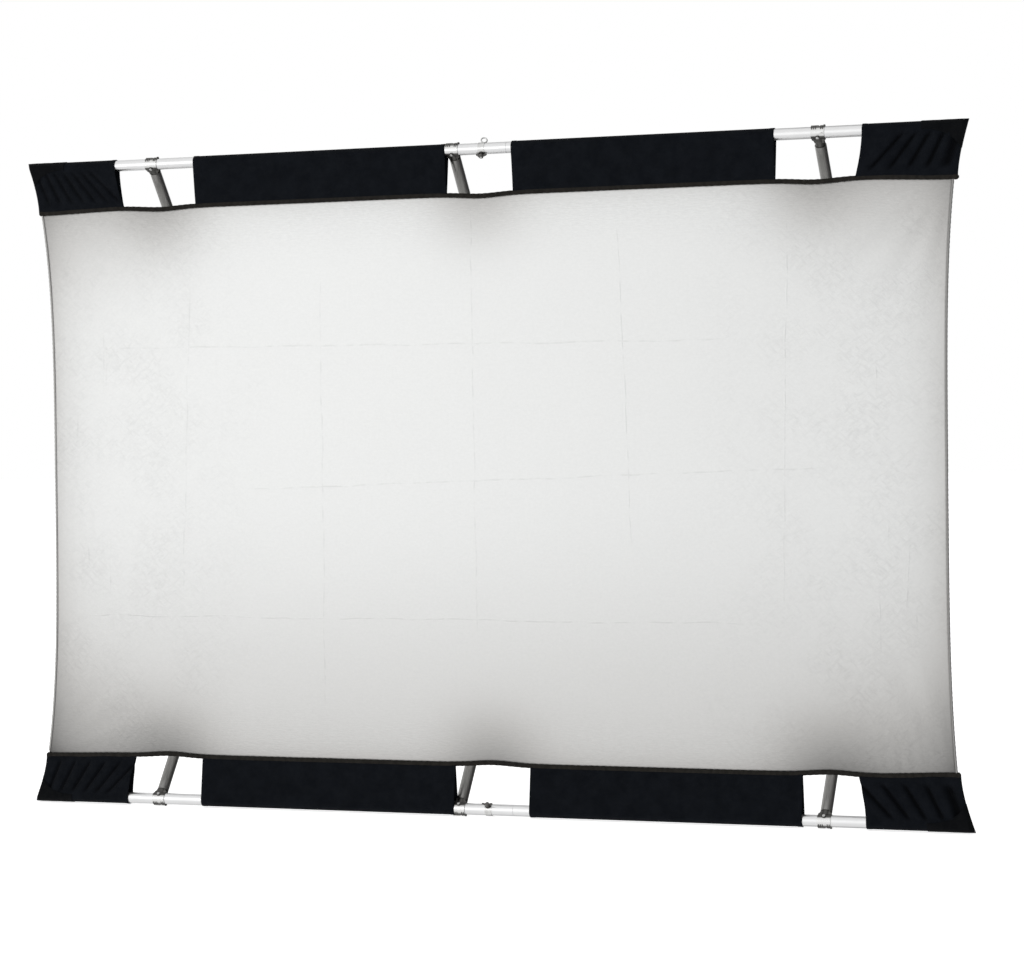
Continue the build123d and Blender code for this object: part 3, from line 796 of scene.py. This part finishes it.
def around_rail(s, drop, radius, seam):
    """Depth and a of the cloth at length s, with the outward normal's depth and a parts."""
    length = np.abs(s)
    side = np.where(s < 0, -1.0, 1.0)
    tilt = np.arcsin((radius - seam) / drop)
    arc = radius * (math.pi / 2 + tilt)
    straight = np.sqrt(drop**2 - (radius - seam) ** 2)
    angle = np.clip(length / radius, 0, math.pi / 2 + tilt)
    depth = radius * np.sin(angle)
    a = -radius * np.cos(angle)
    run = np.clip(length - arc, 0, straight)
    depth = depth - run * np.sin(tilt)
    a = a + run * np.cos(tilt)
    turn = np.clip((length - arc - straight) / seam, 0, math.pi / 2 - tilt)
    past = length > arc + straight
    depth = np.where(past, seam * np.cos(tilt + turn), depth)
    a = np.where(past, drop + seam * np.sin(tilt + turn), a)
    total = np.where(past, math.pi / 2 + tilt + turn, angle)
    return side * depth, a, side * np.sin(total), -np.cos(total)


def drop_at(rail, x):
    """From the rail's axis to the middle of the sleeve's seam, which is tucked into the trim."""
    return RAIL_H - trim_edge(rail, x) - TRIM_WIDTH - SEAM_R + SEAM_TUCK


def end_x(end, a, drop):
    """A sleeve's end: its X changes from the rail to the trim in a shallow curve."""
    share = np.clip(a / drop, 0, 1) ** 1.6
    return end[0] + (end[1] - end[0]) * share


def fold_valleys(rail, side, x, a, s):
    """The folds that shear pulls into a corner sleeve.

    Returns how far they push the cloth out, and how near it is to the bottom of one, from 0 to 1.
    """
    first, spacing, count, deep = CORNER_FOLDS[rail, side]
    sign = (-1, 1)[side]
    inward = FOLDS_END_X - sign * x
    depth, valley = 0 * x, 0 * x
    for number in range(count):
        place = first + spacing * number
        degrees = OUTER_FOLD_ANGLE + (INNER_FOLD_ANGLE - OUTER_FOLD_ANGLE) * number / (count - 1)
        broad = 2.0 if side == 1 and number == 0 else 1.0
        shift = (a - FOLDS_MIDDLE_A) / math.tan(math.radians(degrees))
        line = inward - shift - place
        fade = smooth(a, 0.004, 0.018) * smooth(0.074 - a, -0.004, 0.012)
        width = (FOLD_WIDTH + FOLD_WIDENS * np.abs(a - FOLDS_MIDDLE_A)) * broad
        dip = fade * bell(line, 0, width)
        depth = depth - deep * math.sqrt(broad) * dip
        valley = np.maximum(valley, dip)
        depth = depth + RIDGE_SHARE * deep * fade * bell(line, RIDGE_OFFSET, RIDGE_WIDTH)
    behind = np.where(s > 0, 0.6, 1.0)
    return depth * behind, valley


# Each corner sleeve's folds: the place of the outermost, the spacing, how many, and how deep.
CORNER_FOLDS = {
    ("top", 0): (0.022, 0.023, 7, 0.0020),
    ("top", 1): (0.018, 0.030, 5, 0.0042),
    ("bottom", 0): (0.032, 0.030, 6, 0.0036),
    ("bottom", 1): (0.024, 0.036, 5, 0.0046),
}
OUTER_FOLD_ANGLE = 68  # the outermost fold is the steepest, the innermost the flattest
INNER_FOLD_ANGLE = 45


def sleeve_grid(rail, left, right, rows, columns):
    """x, s, a and the loop's shape over a grid: rows along the rail, columns round the loop."""
    u = np.linspace(0, 1, rows)[:, None]
    turn = np.linspace(-1, 1, columns, endpoint=False)[None, :]
    x = left[0] + (right[0] - left[0]) * u + 0 * turn
    for _ in range(3):
        drop = drop_at(rail, x)
        s = turn * loop_length(drop, SLEEVE_R, SEAM_R)
        depth, a, out_d, out_a = around_rail(s, drop, SLEEVE_R, SEAM_R)
        start, stop = end_x(left, a, drop), end_x(right, a, drop)
        x = start + (stop - start) * u
    return x, s, a, depth, out_d, out_a, start, stop


def place_sleeve(name, rail, x, s, a, depth, out_d, out_a, bulge):
    up = UP[rail]
    d = depth + out_d * bulge
    h = up * (RAIL_H - a - out_a * bulge)
    grid = to_world(x, d, h)
    normal = np.stack([0 * x, out_d, -up * out_a], axis=-1)
    uv = np.stack([x, s], axis=-1)
    if rail == "bottom":
        grid, normal, uv = grid[:, ::-1], normal[:, ::-1], uv[:, ::-1]
    return cloth_layers(name, grid, normal, CLOTH, uv, [BLACK, BLACK], wrap=True)


def end_hem(x, start, stop, both=True):
    """A turned and stitched hem at a sleeve's open ends stands a little proud."""
    band, groove = 0, 0
    for inward in (x - start, stop - x) if both else (x - start,):
        band = band + 1 - smooth(inward, END_HEM_WIDTH - 0.0012, END_HEM_WIDTH)
        groove = groove + bell(inward, END_HEM_WIDTH - 0.002, 0.0006)
    return 0.00045 * band - 0.0003 * groove


def long_sleeve(rail, name, left, right, seed):
    x, s, a, depth, out_d, out_a, start, stop = sleeve_grid(rail, left, right, 200, 72)
    span = smooth(a, 0.004, 0.03) * smooth(0.080 - a, 0.0, 0.02)
    pull = 0.0006 * ripple(x, 0.12 * a, seed, 0.055) + 0.0005 * ripple(x, a, seed + 1, 0.16)
    bulge = span * pull + end_hem(x, start, stop)
    piece = place_sleeve(f"{name}_cloth", rail, x, s, a, depth, out_d, out_a, bulge)
    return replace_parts(piece, name)


def closing(x, rail, side, a, drop):
    """The share of its depth that a corner sleeve keeps: its two layers are sewn together at its end."""
    sign = (-1, 1)[side]
    edge = side_edge(rail, side, a, drop)
    from_end = np.clip((edge - sign * x) / 0.0075, 0, 1)
    return np.sqrt(1 - (1 - from_end) ** 2)


def side_edge(rail, side, a, drop):
    """The distance of a corner sleeve's outer end from the middle, at a."""
    at_rail, at_trim = SIDE_EDGES[rail, side]
    share = np.clip(1 - a / drop, 0, 1.14) ** 1.5
    return at_trim + (at_rail - at_trim) * share


def corner_grid(rail, side, opening, rows, columns):
    """As sleeve_grid, from the opening to the curved outer side, where the rows are closer together."""
    sign = (-1, 1)[side]
    u = np.linspace(0, 1, rows)[:, None]
    u = 1 - (1 - u) ** 1.5
    turn = np.linspace(-1, 1, columns, endpoint=False)[None, :]
    x = sign * (0.75 + 0.2 * u) + 0 * turn
    for _ in range(4):
        drop = drop_at(rail, x)
        s = turn * loop_length(drop, SLEEVE_R, SEAM_R)
        depth, a, out_d, out_a = around_rail(s, drop, SLEEVE_R, SEAM_R)
        start, stop = end_x(opening, a, drop), sign * side_edge(rail, side, a, drop)
        x = start + (stop - start) * u
    return x, s, a, depth, out_d, out_a, start, stop, drop


def corner_sleeve(rail, side, opening):
    word = ("left", "right")[side]
    sign = (-1, 1)[side]
    x, s, a, depth, out_d, out_a, start, stop, drop = corner_grid(rail, side, opening, 150, 96)
    keep = closing(x, rail, side, a, drop)
    folds, valley = fold_valleys(rail, side, x, a, s)
    bulge = folds + 0.0005 * ripple(x, a, 20 + side, 0.06) * smooth(a, 0.0, 0.02)
    bulge = bulge * smooth(keep, 0.2, 1.0) + end_hem(sign * x, sign * start, sign * stop, both=False)
    depth = depth * np.maximum(keep, 0.06)
    if side == 0:
        x, s, a, depth, out_d, out_a, bulge, valley = (
            part[::-1] for part in (x, s, a, depth, out_d, out_a, bulge, valley)
        )
    name = f"{rail}_{word}_corner_sleeve"
    piece = place_sleeve(f"{name}_cloth", rail, x, s, a, depth, out_d, out_a, bulge)
    valley = valley[:, ::-1] if rail == "bottom" else valley
    # The folds' valleys get painted shade.
    set_field(piece, "painted_fold_shade", np.tile(valley.ravel() * PAINTED_FOLD_SHADES[side], 2))
    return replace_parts(piece, name)


def corner_patch(rail, side):
    """A reinforcement sewn over the tip: a strip round the rail that widens down the outer side."""
    word = ("left", "right")[side]
    sign = (-1, 1)[side]
    up = UP[rail]
    rows, columns = 60, 72
    u = np.linspace(0, 1, rows)[:, None]
    v = np.linspace(-1, 1, columns)[None, :]
    base = PATCH_X + (SIDE_EDGES[rail, side][0] - PATCH_X) * u
    reach = 0.004 + 0.036 * u**2.4
    radius = SLEEVE_R + CLOTH + 0.0002
    drop = drop_at(rail, sign * base)
    s = v * (radius * math.pi / 2 + reach)
    depth, a, out_d, out_a = around_rail(s, drop, radius, SEAM_R + CLOTH)
    edge = side_edge(rail, side, a, drop)
    x = PATCH_X + (edge + 0.0006 - PATCH_X) * u
    keep = closing(sign * x, rail, side, a, drop)
    bulge = 0.0002 * ripple(x, a, 31, 0.03)
    depth = depth * np.maximum(keep, 0.12)
    grid = to_world(sign * x, depth + out_d * bulge, up * (RAIL_H - a - out_a * bulge))
    normal = np.stack([0 * x, out_d, -up * out_a], axis=-1)
    uv = np.stack([x, s], axis=-1)
    if sign != up:
        grid, normal, uv = grid[::-1], normal[::-1], uv[::-1]
    name = f"{rail}_{word}_corner_patch"
    piece = cloth_layers(f"{name}_cloth", grid, normal, PATCH_CLOTH, uv, [PATCH_BLACK, PATCH_BLACK])
    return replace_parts(piece, name)


def stretch(piece):
    """Bakes the piece's place into its mesh."""
    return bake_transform(piece)


def build_cover():
    stretch(silver_screen())
    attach(hem(0), "left_half")
    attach(hem(1), "right_half")
    for rail, ends in SLEEVE_ENDS.items():
        stretch(trim_band(rail))
        stretch(long_sleeve(rail, f"{rail}_left_sleeve", ends[1], ends[2], 40))
        stretch(long_sleeve(rail, f"{rail}_right_sleeve", ends[3], ends[4], 50))
        for side, body, end in ((0, "left_half", ends[0]), (1, "right_half", ends[5])):
            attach(corner_sleeve(rail, side, end), body)
            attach(corner_patch(rail, side), body)


# Studio


def aim(position, target):
    return (Vector(target) - Vector(position)).to_track_quat("-Z", "Y")


def area_light(name, position, target, size, power):
    light = bpy.data.lights.new(name, "AREA")
    light.size = size
    light.energy = power
    lamp = bpy.data.objects.new(name, light)
    lamp.location = position
    lamp.rotation_mode = "QUATERNION"
    lamp.rotation_quaternion = aim(position, target)
    bpy.context.scene.collection.objects.link(lamp)


def studio_world():
    """White to the camera. Reflections see a room that is bright in front and at the back on the left.

    It is darker behind and to the right.
    """
    world = bpy.data.worlds.new("studio")
    bpy.context.scene.world = world
    world.use_nodes = True
    tree = world.node_tree
    tree.nodes.clear()
    direction = add(tree, "ShaderNodeTexCoord").outputs["Generated"]
    split = add(tree, "ShaderNodeSeparateXYZ", {0: direction})
    above = ramp(tree, split.outputs[2], 0.10, 0.80, ROOM_FRONT, ROOM_ABOVE)
    below = ramp(tree, split.outputs[2], -0.75, -0.05, ROOM_BELOW, ROOM_FRONT)
    far_back = ramp(tree, split.outputs[0], -0.60, 0.05, ROOM_BACK_LEFT, ROOM_BEHIND)
    behind = ramp(tree, split.outputs[1], -0.10, 0.55, 1.0, far_back)
    aside = ramp(tree, split.outputs[0], 0.05, 0.75, 1.0, ROOM_RIGHT)
    level = calc(tree, "MULTIPLY", calc(tree, "MINIMUM", above, below), calc(tree, "MULTIPLY", behind, aside))
    rays = add(tree, "ShaderNodeLightPath")
    seen = add(tree, "ShaderNodeMix", {0: rays.outputs["Is Camera Ray"], 2: level, 3: 1.0}, data_type="FLOAT")
    background = add(tree, "ShaderNodeBackground", {"Color": (1, 1, 1, 1), "Strength": seen.outputs[0]})
    add(tree, "ShaderNodeOutputWorld", {0: background.outputs[0]})


ROOM_FRONT = 1.0
ROOM_ABOVE = 0.82
ROOM_BELOW = 0.80
ROOM_BEHIND = 0.25
ROOM_BACK_LEFT = 0.9
ROOM_RIGHT = 0.30


def floor():
    """A pale floor just under the panel. It glows a little, so that it stays white."""
    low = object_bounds()[0].z
    size = 60.0
    mesh = bpy.data.meshes.new("floor")
    corners = [(-size, -size, low), (size, -size, low), (size, size, low), (-size, size, low)]
    mesh.from_pydata(corners, [], [(0, 1, 2, 3)])
    piece = bpy.data.objects.new("floor", mesh)
    bpy.context.scene.collection.objects.link(piece)
    material, tree, shader = new_material("pale_floor")
    connect(tree, shader, {"Base Color": (0.9, 0.9, 0.9, 1), "Roughness": 0.9, "Specular IOR Level": 0.0})
    connect(tree, shader, {"Emission Color": (1, 1, 1, 1), "Emission Strength": 0.72})
    mesh.materials.append(material)
    piece.visible_glossy = False
    piece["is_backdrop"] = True


CAMERA_PLACE = (1.824, -5.066, 0.061)  # from the panel's middle
CAMERA_YAW = 19.05
CAMERA_PITCH = -0.655
CAMERA_ROLL = -0.617
CAMERA_LENS = 98.4


def camera():
    yaw, pitch, roll = (math.radians(a) for a in (CAMERA_YAW, CAMERA_PITCH, CAMERA_ROLL))
    right = Vector((math.cos(yaw), math.sin(yaw), 0))
    ahead = Vector((-math.sin(yaw) * math.cos(pitch), math.cos(yaw) * math.cos(pitch), math.sin(pitch)))
    up = right.cross(ahead)
    rolled_right = right * math.cos(roll) + up * math.sin(roll)
    rolled_up = up * math.cos(roll) - right * math.sin(roll)
    data = bpy.data.cameras.new("camera")
    data.lens = CAMERA_LENS
    data.sensor_width = 36
    data.clip_end = 200
    lens = bpy.data.objects.new("camera", data)
    place = Vector(CAMERA_PLACE) + Vector((0, RAIL_Y, MIDDLE_Z))
    turn = Matrix((rolled_right, rolled_up, -ahead)).transposed().to_4x4()
    lens.matrix_world = Matrix.Translation(place) @ turn
    bpy.context.scene.collection.objects.link(lens)
    bpy.context.scene.camera = lens


def lights():
    middle = (0, RAIL_Y, MIDDLE_Z)
    area_light("key", (-2.6, -5.0, MIDDLE_Z + 0.6), middle, 2.4, 16)
    area_light("back_fill", (-2.8, 4.5, MIDDLE_Z + 1.0), middle, 3.0, 10)


paint_frame()
build_cover()
studio_world()
floor()
camera()
lights()
bpy.context.scene.view_settings.view_transform = "Standard"
